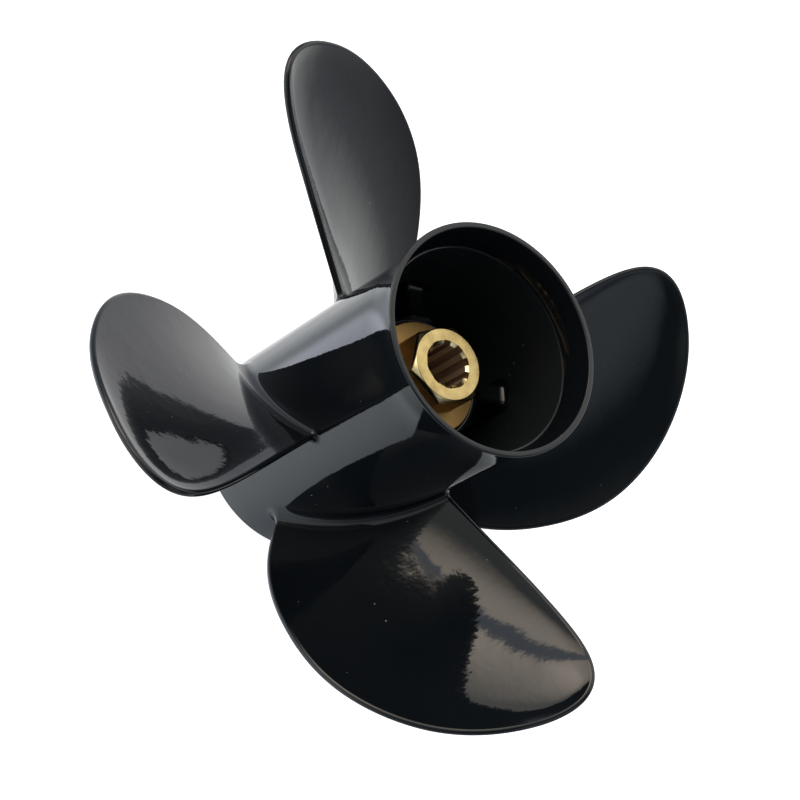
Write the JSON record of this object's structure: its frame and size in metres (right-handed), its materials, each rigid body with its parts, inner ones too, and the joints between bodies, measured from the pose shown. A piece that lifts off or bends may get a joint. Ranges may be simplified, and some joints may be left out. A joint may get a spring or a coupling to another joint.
{
  "type": "outboard propeller",
  "caption": "Right-hand outboard propeller with raked broad blades, a hollow through-exhaust hub and a splined brass drive sleeve held in a rubber bush.",
  "frame": {"origin": "on the shaft axis, in the plane of the hub's front end face, which the part stands on", "axes": "+Z along the shaft axis towards the exhaust mouth, which is aft; +X along the reference line of blade_1"},
  "size_m": [0.2786, 0.2786, 0.1476],
  "materials": {
    "casting_paint": "high gloss black paint over a cast aluminium body",
    "brass": "turned and broached, bright",
    "bush_rubber": "matt moulded"
  },
  "bodies": {
    "root": {"hub_barrel": "casting_paint", "tail_ring": "casting_paint", "inner_tube": "casting_paint", "rib_1": "casting_paint", "rib_2": "casting_paint", "rib_3": "casting_paint", "rib_4": "casting_paint", "blade_1": "casting_paint", "blade_2": "casting_paint", "blade_3": "casting_paint", "blade_4": "casting_paint", "drive_sleeve": "brass", "rubber_bush": "bush_rubber"}
  },
  "joints": []
}
